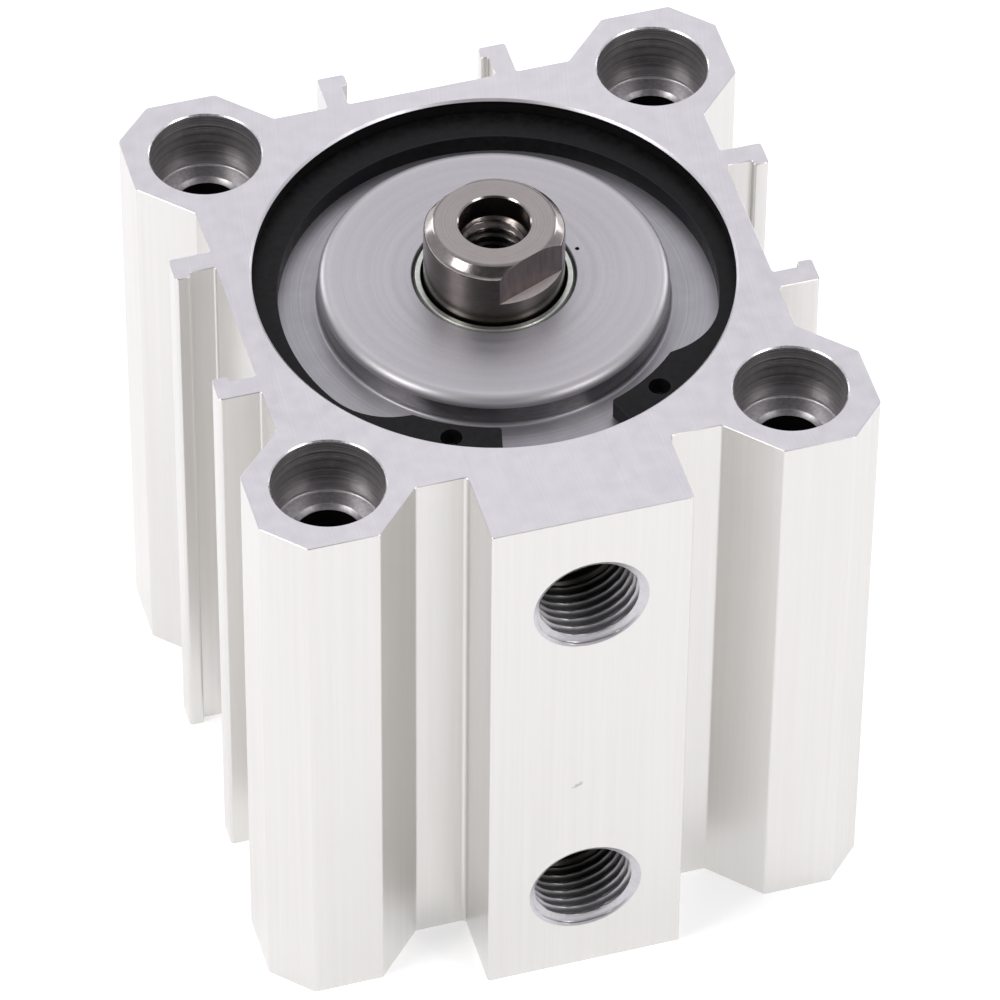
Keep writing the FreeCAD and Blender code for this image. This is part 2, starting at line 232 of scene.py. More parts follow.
def finish_mesh(o, angle=32):
    """Smooth shading with sharp edges kept, and flats that stay flat."""
    me = o.data
    me.shade_smooth()
    me.set_sharp_from_angle(angle=math.radians(angle))
    w = o.modifiers.new("flats", "WEIGHTED_NORMAL")
    w.keep_sharp = True
    w.weight = 80
    w.thresh = 0.01
    return o


def thread_radius(t, a, pitch, minor, major, left=False):
    """Rounded thread ridge: the wall's radius at depth t and angle a."""
    u = (t / pitch - a / (2 * math.pi)) % 1.0
    tri = abs(2 * u - 1)                       # 1 at the root, 0 at the crest
    tri = min(1.0, max(0.0, (tri - 0.12) / 0.76))
    tri = tri * 0.6 + 0.4 * tri * tri * (3 - 2 * tri)
    return minor + (major - minor) * tri


# ------------------------------------------------------------------ tube
def side(rows):
    return rows + [(a, -b, r) for a, b, r in reversed(rows)]


RAIL = side([(LOBE, -LOBE_INNER, 0.35), (WEB, -LOBE_FOOT, 0.35), (WEB, -RAIL_SIDE, 0.2),
             (RAIL_TOP, -RAIL_SIDE, 0.3), (RAIL_TOP, -RAIL_TIP, 0.3), (RAIL_LIP, -RAIL_TIP, 0.25),
             (RAIL_LIP, -RAIL_NECK, 0.15), (WEB, -RAIL_NECK, 0.25)])
PORT_SIDE = side([(LOBE, -LOBE_INNER, 0.35), (FRONT_WEB, -LOBE_FOOT, 0.35),
                  (FRONT_WEB, -BLOCK_HALF, 0.4), (BLOCK_FACE, -BLOCK_HALF, 0.25)])
E = LOBE - LOBE_CHAMFER
rows = [(a, b, r) for a, b, r in RAIL] + [(LOBE, E, 0.4), (E, LOBE, 0.4)]
rows += [(-b, a, r) for a, b, r in RAIL] + [(-E, LOBE, 0.4), (-LOBE, E, 0.4)]
rows += [(-a, -b, r) for a, b, r in RAIL] + [(-LOBE, -E, 0.4), (-E, -LOBE, 0.4)]
rows += [(b, -a, r) for a, b, r in PORT_SIDE] + [(E, -LOBE, 0.4), (LOBE, -E, 0.4)]
outline = rounded(rows, 4)
EDGE = 0.05
tube = layers("tube_extrusion", [(inset(outline, EDGE), 0.0), (outline, EDGE), (outline, LENGTH - EDGE),
                                 (inset(outline, EDGE), LENGTH)])

G = 1.85
bore = turned("bore_cut", rounded([
    (0, -1, 0), (SEAT_R + 1.2, -1, 0), (SEAT_R + 0.2, 0, 0), (SEAT_R, 0.2, 0.06),
    (SEAT_R, REAR_LEDGE - G, 0.06), (RING_R, REAR_LEDGE - G, 0.1), (RING_R, REAR_LEDGE, 0.1), (SEAT_R, REAR_LEDGE, 0.06),
    (SEAT_R, 7.2, 0.15), (BORE_R, 7.2, 0.1), (BORE_R, 47.5, 0.1), (SEAT_R, 47.5, 0.15),
    (SEAT_R, LEDGE, 0.06), (RING_R, LEDGE, 0.1), (RING_R, LEDGE + G, 0.1), (SEAT_R, LEDGE + G, 0.06),
    (SEAT_R, LENGTH - 0.2, 0.06), (SEAT_R + 0.2, LENGTH, 0), (SEAT_R + 1.2, LENGTH + 1, 0), (0, LENGTH + 1, 0)], 3), 256)
cut(tube, bore)
for sx in (-1, 1):
    for sy in (-1, 1):
        h = turned("screw_hole_cut", rounded([
            (0, -1, 0), (CBORE_R + 1.12, -1, 0), (CBORE_R + 0.12, 0, 0), (CBORE_R, 0.12, 0.04), (CBORE_R, CBORE_DEPTH, 0.25),
            (HOLE_R + 0.4, CBORE_DEPTH, 0.05), (HOLE_R, CBORE_DEPTH + 0.4, 0.1), (HOLE_R, LENGTH - CBORE_DEPTH - 0.4, 0.1),
            (HOLE_R + 0.4, LENGTH - CBORE_DEPTH, 0.05), (CBORE_R, LENGTH - CBORE_DEPTH, 0.25), (CBORE_R, LENGTH - 0.12, 0.04),
            (CBORE_R + 0.12, LENGTH, 0), (CBORE_R + 1.12, LENGTH + 1, 0), (0, LENGTH + 1, 0)], 3), 96)
        h.data.transform(Matrix.Translation((sx * PITCH / 2 * MM, sy * PITCH / 2 * MM, 0)))
        cut(tube, h)

P_PITCH, P_MINOR = 0.907, 4.283
P_MAJOR = PORTS[0]["dims"]["r_mm"]
P_DEPTH = 7.5


def port_radius(t, a):
    lead = 5.03 - max(0.0, t) * 1.6
    r = thread_radius(t, a, P_PITCH, P_MINOR, P_MAJOR)
    if t > P_DEPTH - 1.4:
        r = P_MINOR + (r - P_MINOR) * max(0.0, (P_DEPTH - 0.3 - t) / 1.1)
    r = max(r, lead)
    if t > P_DEPTH:
        r = P_MINOR - (t - P_DEPTH) * 1.9
    return max(r, 1.0)


stations = [-1.0, 0.0] + [0.06 * k for k in range(1, 125)] + [7.52, 7.9, 8.4]
for p, dz in zip(PORTS, (-1.4, -1.55)):
    z = p["pos_m"][2] / MM
    c = field("port_cut", stations, port_radius, 96)
    place = Matrix.Translation((0, -BLOCK_FACE * MM, z * MM)) @ Matrix.Rotation(math.radians(-90), 4, "X")
    c.data.transform(place)
    cut(tube, c)
    q = field("passage_cut", [7.0, 12.5], lambda t, a: 1.2, 40)
    q.data.transform(Matrix.Translation((0, 0, dz * MM)) @ place)
    cut(tube, q)


def classify(o, rules):
    """Gives each face the first material whose rule its centre and normal fit; millimetres in."""
    for poly in o.data.polygons:
        c = Vector(poly.center) / MM
        poly.material_index = next((i for i, rule in rules if rule(c, poly.normal)), 0)


def near_hole(c):
    return min(math.hypot(c.x - sx * PITCH / 2, c.y - sy * PITCH / 2) for sx in (-1, 1) for sy in (-1, 1))


def in_port(c, n):
    return any(math.hypot(c.x, c.z - p["pos_m"][2] / MM) < 5.2 and c.y < -20.4 and abs(n.y) < 0.98 for p in PORTS)


def radial(c):
    return math.hypot(c.x, c.y)


# ------------------------------------------------------------------ materials
def new_material(name):
    m = bpy.data.materials.new(name)
    m.use_nodes = True
    nt = m.node_tree
    nt.nodes.clear()
    out = nt.nodes.new("ShaderNodeOutputMaterial")
    b = nt.nodes.new("ShaderNodeBsdfPrincipled")
    nt.links.new(b.outputs["BSDF"], out.inputs["Surface"])
    return m, nt, b


class Net:
    """Short names for the shader nodes used here."""

    def __init__(self, name, metallic=1.0, roughness=0.4, spec=0.5, aniso=0.0, coat=0.0, coat_rough=0.1):
        self.m, self.nt, self.b = new_material(name)
        self.b.inputs["Metallic"].default_value = metallic
        self.b.inputs["Roughness"].default_value = roughness
        self.b.inputs["Specular IOR Level"].default_value = spec
        self.b.inputs["Anisotropic"].default_value = aniso
        self.b.inputs["Coat Weight"].default_value = coat
        self.b.inputs["Coat Roughness"].default_value = coat_rough
        co = self.nt.nodes.new("ShaderNodeTexCoord")
        self.obj = co.outputs["Object"]

    def put(self, out, socket):
        self.nt.links.new(out, self.b.inputs[socket] if isinstance(socket, str) else socket)

    def value(self, v):
        n = self.nt.nodes.new("ShaderNodeValue")
        n.outputs[0].default_value = v
        return n.outputs[0]

    def math(self, op, a, b=None, clamp=False):
        n = self.nt.nodes.new("ShaderNodeMath")
        n.operation = op
        n.use_clamp = clamp
        for i, v in enumerate((a, b)):
            if v is None:
                continue
            if isinstance(v, (int, float)):
                n.inputs[i].default_value = v
            else:
                self.nt.links.new(v, n.inputs[i])
        return n.outputs[0]

    def scale(self, sx, sy, sz, rot=(0, 0, 0), src=None):
        n = self.nt.nodes.new("ShaderNodeMapping")
        n.inputs["Scale"].default_value = (sx, sy, sz)
        n.inputs["Rotation"].default_value = rot
        self.nt.links.new(src or self.obj, n.inputs["Vector"])
        return n.outputs["Vector"]

    def noise(self, vec, scale, detail=3.0, rough=0.5, distortion=0.0, dims="3D"):
        n = self.nt.nodes.new("ShaderNodeTexNoise")
        n.noise_dimensions = dims
        n.inputs["Scale"].default_value = scale
        n.inputs["Detail"].default_value = detail
        n.inputs["Roughness"].default_value = rough
        n.inputs["Distortion"].default_value = distortion
        if dims == "1D":
            self.nt.links.new(vec, n.inputs["W"])
        else:
            self.nt.links.new(vec, n.inputs["Vector"])
        return n.outputs["Fac"]

    def ramp(self, fac, *stops):
        n = self.nt.nodes.new("ShaderNodeValToRGB")
        e = n.color_ramp.elements
        while len(e) < len(stops):
            e.new(0.5)
        for el, (pos, col) in zip(e, stops):
            el.position = pos
            el.color = (*col, 1.0) if len(col) == 3 else col
        self.nt.links.new(fac, n.inputs["Fac"])
        return n.outputs["Color"]

    def range(self, v, a0, a1, b0, b1, smooth=False):
        n = self.nt.nodes.new("ShaderNodeMapRange")
        n.interpolation_type = "SMOOTHSTEP" if smooth else "LINEAR"
        n.clamp = True
        for k, x in zip(("From Min", "From Max", "To Min", "To Max"), (a0, a1, b0, b1)):
            n.inputs[k].default_value = x
        self.nt.links.new(v, n.inputs["Value"])
        return n.outputs["Result"]

    def mix(self, fac, a, b, mode="MIX"):
        n = self.nt.nodes.new("ShaderNodeMix")
        n.data_type = "RGBA"
        n.blend_type = mode
        n.clamp_factor = True
        for s, v in (("Factor", fac), ("A", a), ("B", b)):
            sock = next(i for i in n.inputs if i.name == s and i.type == ("VALUE" if s == "Factor" else "RGBA"))
            if isinstance(v, (int, float)):
                sock.default_value = v
            elif isinstance(v, tuple):
                sock.default_value = (*v, 1.0)
            else:
                self.nt.links.new(v, sock)
        return next(o for o in n.outputs if o.type == "RGBA")

    def bump(self, height, distance, strength=1.0, normal=None):
        n = self.nt.nodes.new("ShaderNodeBump")
        n.inputs["Strength"].default_value = strength
        n.inputs["Distance"].default_value = distance
        self.nt.links.new(height, n.inputs["Height"])
        if normal is not None:
            self.nt.links.new(normal, n.inputs["Normal"])
        return n.outputs["Normal"]

    def split(self, src=None):
        n = self.nt.nodes.new("ShaderNodeSeparateXYZ")
        self.nt.links.new(src or self.obj, n.inputs[0])
        return n.outputs

    def radius(self, x0=0.0, y0=0.0):
        x, y, _ = self.split()
        return self.math("SQRT", self.math("ADD", self.math("POWER", self.math("SUBTRACT", x, x0), 2.0),
                                           self.math("POWER", self.math("SUBTRACT", y, y0), 2.0)))

    def tangent(self, axis="Z"):
        n = self.nt.nodes.new("ShaderNodeTangent")
        n.direction_type = "RADIAL"
        n.axis = axis
        self.nt.links.new(n.outputs["Tangent"], self.b.inputs["Tangent"])
        self.b.inputs["Anisotropic Rotation"].default_value = 0.25

    def worn(self, amount=0.35, size=0.0003, samples=6):
        """1 at convex edges, from how much a rounded normal differs from the true one."""
        bv = self.nt.nodes.new("ShaderNodeBevel")
        bv.samples = samples
        bv.inputs["Radius"].default_value = size
        g = self.nt.nodes.new("ShaderNodeNewGeometry")
        d = self.nt.nodes.new("ShaderNodeVectorMath")
        d.operation = "DOT_PRODUCT"
        self.nt.links.new(bv.outputs["Normal"], d.inputs[0])
        self.nt.links.new(g.outputs["Normal"], d.inputs[1])
        return self.range(d.outputs["Value"], 1.0 - amount, 1.0, 1.0, 0.0)


NICK = (-0.87, 23.75)           # x and z of the nick, millimetres

# pale anodised extrusion: vertical die lines, faint cloudiness
k = Net("anodised_extrusion", metallic=0.92, roughness=0.34, spec=0.5)
x, y, z = k.split()
lines = k.noise(k.scale(1, 1, 0.012), 2600, 4, 0.62)
broad = k.noise(k.scale(1, 1, 0.03), 420, 3, 0.5)
cloud = k.noise(k.scale(1, 1, 0.5), 90, 4, 0.55)
grain = k.noise(k.obj, 9000, 2, 0.5)
col = k.ramp(lines, (0.3, (0.725, 0.712, 0.69)), (0.5, (0.74, 0.73, 0.71)), (0.72, (0.755, 0.748, 0.73)))
col = k.mix(k.range(broad, 0.35, 0.7, 0.0, 0.2), col, (0.715, 0.705, 0.685))
col = k.mix(k.range(cloud, 0.4, 0.75, 0.0, 0.2), col, (0.765, 0.76, 0.745))
# a few handling specks, and one small nick on the port block between the two ports
spots = k.nt.nodes.new("ShaderNodeTexVoronoi")
spots.feature = "F1"
spots.inputs["Scale"].default_value = 95.0
k.nt.links.new(k.scale(1, 1, 0.6), spots.inputs["Vector"])
speck = k.math("MULTIPLY", k.range(spots.outputs["Distance"], 0.012, 0.03, 1.0, 0.0), k.range(k.noise(k.obj, 70, 2, 0.5), 0.52, 0.6, 0.0, 1.0))
nx = k.math("ADD", k.math("MULTIPLY", k.math("SUBTRACT", x, NICK[0] * MM), 0.86), k.math("MULTIPLY", k.math("SUBTRACT", z, NICK[1] * MM), 0.5))
nz = k.math("SUBTRACT", k.math("MULTIPLY", k.math("SUBTRACT", z, NICK[1] * MM), 0.86), k.math("MULTIPLY", k.math("SUBTRACT", x, NICK[0] * MM), 0.5))
near = k.math("SQRT", k.math("ADD", k.math("POWER", k.math("DIVIDE", nx, 0.00062), 2.0), k.math("POWER", k.math("DIVIDE", nz, 0.00022), 2.0)))
near = k.math("ADD", near, k.math("MULTIPLY", k.math("SUBTRACT", k.noise(k.obj, 2600, 3, 0.6), 0.5), 2.2))
nick = k.math("MULTIPLY", k.range(near, 0.5, 1.1, 1.0, 0.0), k.range(y, -0.0290, -0.0294, 0.0, 1.0))
mark = k.math("MAXIMUM", k.math("MULTIPLY", nick, 0.6), k.math("MULTIPLY", speck, 0.35))
col = k.mix(mark, col, (0.36, 0.35, 0.34))
k.put(col, "Base Color")
k.put(k.range(lines, 0.25, 0.75, 0.36, 0.31), "Roughness")
h = k.math("ADD", k.math("MULTIPLY", lines, 0.6), k.math("MULTIPLY", grain, 0.4))
k.put(k.bump(nick, 0.00006, 0.6, k.bump(h, 0.00002, 0.12)), "Normal")
M_SIDE = k.m

# milled end faces
k = Net("milled_end", metallic=0.85, roughness=0.36, aniso=0.35)
x, y, z = k.split()
arc = k.math("SQRT", k.math("ADD", k.math("POWER", k.math("SUBTRACT", x, 0.19), 2.0),
                            k.math("POWER", k.math("SUBTRACT", y, -0.02), 2.0)))
mill = k.noise(arc, 5200, 3, 0.6, dims="1D")
mott = k.noise(k.obj, 700, 5, 0.6)
fine = k.noise(k.obj, 6000, 2, 0.5)
col = k.ramp(mill, (0.3, (0.735, 0.715, 0.75)), (0.55, (0.755, 0.735, 0.77)), (0.75, (0.775, 0.755, 0.785)))
col = k.mix(k.range(mott, 0.35, 0.7, 0.0, 0.4), col, (0.71, 0.69, 0.72))
k.put(col, "Base Color")
k.put(k.range(mott, 0.3, 0.7, 0.33, 0.46), "Roughness")
k.put(k.bump(k.math("ADD", k.math("MULTIPLY", mill, 0.8), k.math("MULTIPLY", fine, 0.5)), 0.00002, 0.12), "Normal")
M_MILL = k.m

# freshly cut chamfers and edges, brighter than the anodised skin
k = Net("cut_edge", metallic=0.9, roughness=0.28)
v = k.noise(k.obj, 2500, 3, 0.6)
k.put(k.ramp(v, (0.3, (0.80, 0.79, 0.80)), (0.7, (0.93, 0.925, 0.93))), "Base Color")
k.put(k.range(v, 0.3, 0.7, 0.2, 0.36), "Roughness")
k.put(k.bump(v, 0.00001, 0.3), "Normal")
M_EDGE = k.m


def ringed(name, dark, light, axis_noise=9000, metallic=0.9, rough=(0.3, 0.5), strength=0.5):
    """Bored wall with fine tool rings stacked along Z."""
    k = Net(name, metallic=metallic, roughness=sum(rough) / 2)
    x, y, z = k.split()
    rings = k.noise(z, axis_noise, 3, 0.65, dims="1D")
    blot = k.noise(k.obj, 900, 4, 0.6)
    col = k.ramp(rings, (0.32, dark), (0.68, light))
    col = k.mix(k.range(blot, 0.4, 0.75, 0.0, 0.4), col, tuple(c * 0.8 for c in dark))
    k.put(col, "Base Color")
    k.put(k.range(rings, 0.3, 0.7, *rough), "Roughness")
    k.put(k.bump(rings, 0.00003, strength), "Normal")
    return k


M_CBORE = ringed("counterbore_wall", (0.36, 0.345, 0.35), (0.72, 0.70, 0.71), 4200).m
# drilled holes: the near-black tone is painted shade inside the holes
M_HOLE_SHADE = ringed("drilled_hole_painted_shade", (0.03, 0.028, 0.028), (0.09, 0.085, 0.085), 3000, rough=(0.4, 0.6)).m
# seat walls round the rings: the near-black tone is painted shade and painted reflection of the black rings
M_SEAT_SHADE = ringed("seat_wall_painted_shade", (0.010, 0.010, 0.011), (0.03, 0.029, 0.03), 6000, metallic=0.6, rough=(0.34, 0.5), strength=0.3).m
M_BORE = ringed("honed_bore", (0.30, 0.30, 0.31), (0.5, 0.5, 0.51), 5000, rough=(0.15, 0.25), strength=0.15).m

# counterbore floor, ring marks round each hole are small, so fine mottling is enough
k = Net("counterbore_floor", metallic=0.9, roughness=0.35)
v = k.noise(k.obj, 3000, 4, 0.6)
k.put(k.ramp(v, (0.3, (0.42, 0.41, 0.42)), (0.7, (0.62, 0.61, 0.62))), "Base Color")
k.put(k.bump(v, 0.00002, 0.3), "Normal")
M_FLOOR_CB = k.m

# tapped port walls, darkened with depth into the port as painted shade
k = Net("tapped_wall", metallic=0.85, roughness=0.34)
x, y, z = k.split()
v = k.noise(k.obj, 2600, 3, 0.6)
# mask for painted shade: 0 at the port mouth, 1 a few millimetres in
port_depth_shade = k.range(y, (-BLOCK_FACE + 0.5) * MM, (-BLOCK_FACE + 6.0) * MM, 0.0, 1.0)
col = k.ramp(v, (0.3, (0.56, 0.55, 0.57)), (0.7, (0.63, 0.62, 0.645)))
col = k.mix(port_depth_shade, col, (0.07, 0.068, 0.06))
k.put(col, "Base Color")
k.put(k.bump(v, 0.00001, 0.3), "Normal")
M_TAP = k.m

MATS = [M_SIDE, M_MILL, M_EDGE, M_CBORE, M_HOLE_SHADE, M_SEAT_SHADE, M_BORE, M_FLOOR_CB, M_TAP]
for m in MATS:
    tube.data.materials.append(m)
classify(tube, [
    (8, lambda c, n: in_port(c, n)),
    (1, lambda c, n: abs(n.z) > 0.9 and (c.z > LENGTH - 0.02 or c.z < 0.02)),
    (1, lambda c, n: 0.3 < abs(n.z) < 0.9 and radial(c) < SEAT_R + 0.3 and (c.z > LENGTH - 0.3 or c.z < 0.3)),
    (2, lambda c, n: 0.3 < abs(n.z) < 0.9 and near_hole(c) < CBORE_R + 0.2 and (c.z > LENGTH - 0.2 or c.z < 0.2)),
    (7, lambda c, n: abs(n.z) > 0.3 and near_hole(c) < CBORE_R + 0.1),
    (3, lambda c, n: near_hole(c) < CBORE_R + 0.05 and near_hole(c) > HOLE_R + 0.6),
    (4, lambda c, n: near_hole(c) <= HOLE_R + 0.6),
    (5, lambda c, n: radial(c) < RING_R + 0.05 and (c.z > 47.4 or c.z < 7.3)),
    (6, lambda c, n: radial(c) < BORE_R + 0.05),
])
tube.name = "tube_body"
finish_mesh(tube)
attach(tube, "barrel")
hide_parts("cylinder_tube")


# ------------------------------------------------------------------ rod cover
NOSE_Z = box_mm("rod_cover")[0][2]
FLANGE_R, BOSS_R, BUSH_OR, BUSH_LEN = 20.44, 14.95, 7.0, 8.0
cover = turned("rod_cover_body", rounded([
    (6.15, NOSE_Z, 0.3), (18.0, NOSE_Z, 0.6), (18.0, 47.5, 0.1), (FLANGE_R, 47.5, 0.2),
    (FLANGE_R, 48.8, 0.1), (19.05, 48.8, 0.15), (19.05, 51.1, 0.15), (FLANGE_R, 51.1, 0.1),
    (FLANGE_R, LEDGE, 0.25), (BOSS_R, LEDGE, 0.35), (BOSS_R, BOSS_Z, 0.9),
    (BUSH_OR + 0.06, BOSS_Z, 0.03), (BUSH_OR, BOSS_Z - 0.06, 0.03), (BUSH_OR, BOSS_Z - BUSH_LEN, 0),
    (6.15, BOSS_Z - BUSH_LEN, 0.05), (6.15, 47.2, 0.05), (9.0, 47.2, 0.15), (9.0, 44.0, 0.15), (6.15, 44.0, 0.05)], 6), 256)
pit = turned("pit", rounded([(0, BOSS_Z - 0.35, 0), (0.1, BOSS_Z - 0.35, 0.05), (0.19, BOSS_Z - 0.1, 0.05),
                             (0.21, BOSS_Z + 0.4, 0), (0, BOSS_Z + 0.4, 0)], 3), 24)
pit.data.transform(Matrix.Translation((7.6 * MM, 0.9 * MM, 0)))
cut(cover, pit)

k = Net("turned_cover", metallic=0.8, roughness=0.34, aniso=0.25)
k.tangent()
r = k.radius()
x, y, z = k.split()
rings = k.noise(r, 7000, 4, 0.62, dims="1D")
wide = k.noise(r, 900, 2, 0.5, dims="1D")
cloud = k.noise(k.obj, 260, 4, 0.6)
col = k.ramp(rings, (0.3, (0.53, 0.515, 0.545)), (0.55, (0.56, 0.545, 0.575)), (0.75, (0.59, 0.575, 0.60)))
col = k.mix(k.range(wide, 0.3, 0.7, 0.0, 0.25), col, (0.51, 0.495, 0.525))
col = k.mix(k.range(cloud, 0.4, 0.7, 0.0, 0.25), col, (0.54, 0.525, 0.56))
grit = k.noise(k.obj, 2600, 4, 0.65)
col = k.mix(k.range(grit, 0.4, 0.75, 0.0, 0.35), col, (0.48, 0.47, 0.49))
# lighter tone on the boss's rounded edge: painted highlight
col = k.mix(k.range(r, 0.0137, 0.0145, 0.0, 1.0), col, (0.60, 0.585, 0.61))
k.put(col, "Base Color")
k.put(k.math("ADD", k.range(wide, 0.3, 0.7, 0.35, 0.45), k.range(r, 0.0139, 0.0142, 0.0, 0.03)), "Roughness")
k.put(k.bump(k.math("ADD", rings, grit), 0.00002, 0.12), "Normal")
M_COVER = k.m

k = Net("turned_ledge", metallic=0.85, roughness=0.42, aniso=0.3)
k.tangent()
r = k.radius()
rings = k.noise(r, 6000, 4, 0.62, dims="1D")
cloud = k.noise(k.obj, 300, 4, 0.6)
col = k.ramp(rings, (0.3, (0.41, 0.40, 0.43)), (0.7, (0.52, 0.51, 0.54)))
col = k.mix(k.range(cloud, 0.4, 0.7, 0.0, 0.4), col, (0.34, 0.33, 0.36))
k.put(col, "Base Color")
k.put(k.bump(rings, 0.00002, 0.3), "Normal")
M_LEDGE = k.m

# boss side wall: the dark tone is painted reflection of the black ring and painted shade
k = Net("boss_wall_painted_shade", metallic=0.9, roughness=0.32, aniso=0.3)
k.tangent()
x, y, z = k.split()
v = k.noise(k.scale(0.15, 0.15, 1), 6000, 3, 0.6)
k.put(k.ramp(v, (0.3, (0.22, 0.212, 0.215)), (0.7, (0.31, 0.30, 0.305))), "Base Color")
k.put(k.bump(v, 0.00002, 0.2), "Normal")
M_BOSSWALL_SHADE = k.m
for m in (M_COVER, M_LEDGE, M_HOLE_SHADE, M_BOSSWALL_SHADE):
    cover.data.materials.append(m)
# the pit takes the dark drilled-hole tone, painted shade inside the pit
classify(cover, [
    (2, lambda c, n: math.hypot(c.x - 7.6, c.y - 0.9) < 0.22 and c.z > BOSS_Z - 0.5 and not (n.z > 0.9 and c.z > BOSS_Z - 0.01)),
    (1, lambda c, n: c.z < LEDGE + 0.3),
    (3, lambda c, n: radial(c) > BOSS_R - 0.5 and c.z < BOSS_Z - 0.85),
])
finish_mesh(cover)
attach(cover, "barrel")
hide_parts("rod_cover")

# ------------------------------------------------------------------ bush, rolled from strip with a butt joint
b0, b1 = box_mm("rod_bushing")[0][2], box_mm("rod_bushing")[1][2]
bush = turned("rod_bush", rounded([
    (6.03, b0 + 0.3, 0.05), (6.33, b0, 0.05), (6.7, b0, 0.05), (7.0, b0 + 0.3, 0.05),
    (7.0, b1 - 0.55, 0.05), (6.67, b1, 0.08), (6.24, b1, 0.04), (6.03, b1 - 0.35, 0.06)], 4), 160)
slit = layers("slit", [([(5.5, -0.03), (7.5, -0.03), (7.5, 0.03), (5.5, 0.03)], b0 - 1),
                       ([(5.5, -0.03), (7.5, -0.03), (7.5, 0.03), (5.5, 0.03)], b1 + 1)])
slit.data.transform(Matrix.Rotation(math.radians(118), 4, "Z"))
cut(bush, slit)
k = Net("bush_strip", metallic=0.9, roughness=0.3, aniso=0.3)
k.tangent()
r = k.radius()
v = k.noise(k.obj, 2200, 4, 0.6)
steel = k.ramp(v, (0.3, (0.52, 0.55, 0.50)), (0.7, (0.66, 0.68, 0.635)))
# near-black inner face: the liner's own dark colour together with painted shade of the gap round the rod
liner_and_gap_shade = k.ramp(v, (0.3, (0.02, 0.018, 0.016)), (0.7, (0.045, 0.038, 0.033)))
col = k.mix(k.range(r, 0.00626, 0.00630, 0.0, 1.0), liner_and_gap_shade, steel)
k.put(col, "Base Color")
k.put(k.bump(v, 0.00001, 0.3), "Normal")
bush.data.materials.append(k.m)
finish_mesh(bush)
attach(bush, "barrel")
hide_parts("rod_bushing")

# ------------------------------------------------------------------ retaining rings
k = Net("blackened_spring_steel", metallic=0.3, roughness=0.5, spec=0.2)
v = k.noise(k.obj, 1400, 5, 0.6)
f = k.noise(k.obj, 9000, 2, 0.5)
col = k.ramp(v, (0.3, (0.006, 0.006, 0.0065)), (0.7, (0.017, 0.0165, 0.018)))
col = k.mix(k.worn(0.2, 0.00012), col, (0.05, 0.049, 0.05))
k.put(col, "Base Color")
k.put(k.range(v, 0.3, 0.7, 0.36, 0.52), "Roughness")
k.put(k.bump(f, 0.00002, 0.35), "Normal")
M_RING = k.m


def retaining_ring(name, node, z0, gap_at):
    half, lug_r, span, root = 16.7, 16.9, 42.5, 52.4
    inner, off, eye_at, eye_deg, eye_r = 18.7, 1.15, 18.4, 30.0, 0.95

    def pol(r, deg):
        a = math.radians(deg)
        return (r * math.cos(a), r * math.sin(a))

    def inner_at(deg):
        # distance from the bore axis to the eccentric inner circle
        a = math.radians(deg)
        return off * math.cos(a) + math.sqrt(inner ** 2 - (off * math.sin(a)) ** 2)

    lug = [(*pol(20.6, half), 0.0), (*pol(lug_r, half), 0.3)]
    lug += [(*pol(lug_r, half + (span - half) * i / 8), 0.0) for i in range(1, 8)]
    lug += [(*pol(lug_r, span), 0.3), (*pol(19.53, root), 6.3)]
    up = rounded([(*pol(RING_R, half), 0.25)] + lug[1:] + [(*pol(inner_at(63), 63), 0.0), (*pol(RING_R, 63), 0.0)], 14)
    # keep only the inner run, from the gap to where the plain ring starts
    cut_at = max(i for i, p in enumerate(up) if math.hypot(*p) < RING_R - 1.0)
    run = up[:cut_at + 1]
    top = [p for p in run]
    plain = [pol(inner_at(d), d) for d in np.linspace(64.5, 295.5, 130)]
    bottom = [(x, -y) for x, y in reversed(top)]
    outer = [pol(RING_R, d) for d in np.linspace(360 - half - 0.7, half + 0.7, 200)]
    loop = top + plain + bottom + outer
    o = layers(name, [(loop, z0), (loop, z0 + RING_T)])
    hole = [pol(eye_r, a) for a in np.linspace(0, 360, 33)[:-1]]
    for s in (1, -1):
        hx, hy = pol(eye_at, eye_deg * s)
        ring = [(hx + a, hy + b) for a, b in hole]
        cut(o, layers("eye", [(ring, z0 - 1), (ring, z0 + RING_T + 1)]))
    bevel(o, 0.12, 2, 40)
    o.data.transform(Matrix.Rotation(math.radians(gap_at), 4, "Z"))
    o.data.materials.append(M_RING)
    finish_mesh(o)
    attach(o, "barrel")
    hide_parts(node)
    return o


retaining_ring("front_ring", "front_retaining_ring", LEDGE, -87.1)
retaining_ring("rear_ring", "rear_retaining_ring", REAR_LEDGE - RING_T, -62.0)

# ------------------------------------------------------------------ rear cover
rear = turned("rear_cover_body", rounded([
    (0, REAR_LEDGE + 0.6, 0), (12.0, REAR_LEDGE + 0.6, 0.3), (12.6, REAR_LEDGE, 0.2), (FLANGE_R, REAR_LEDGE, 0.25),
    (FLANGE_R, 4.5, 0.1), (19.3, 4.5, 0.15), (19.3, 6.4, 0.15), (FLANGE_R, 6.4, 0.1), (FLANGE_R, 7.2, 0.2),
    (18.0, 7.2, 0.1), (18.0, 9.7, 0.5), (10.0, 9.7, 0.2), (10.0, 8.2, 0.2), (0, 8.2, 0)], 6), 256)
cut(rear, turned("centre", [(0, REAR_LEDGE - 1), (1.6, REAR_LEDGE - 1), (1.6, REAR_LEDGE + 0.6), (0, REAR_LEDGE + 1.9)], 48))
rear.data.materials.append(M_COVER)
finish_mesh(rear)
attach(rear, "barrel")
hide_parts("rear_cover")

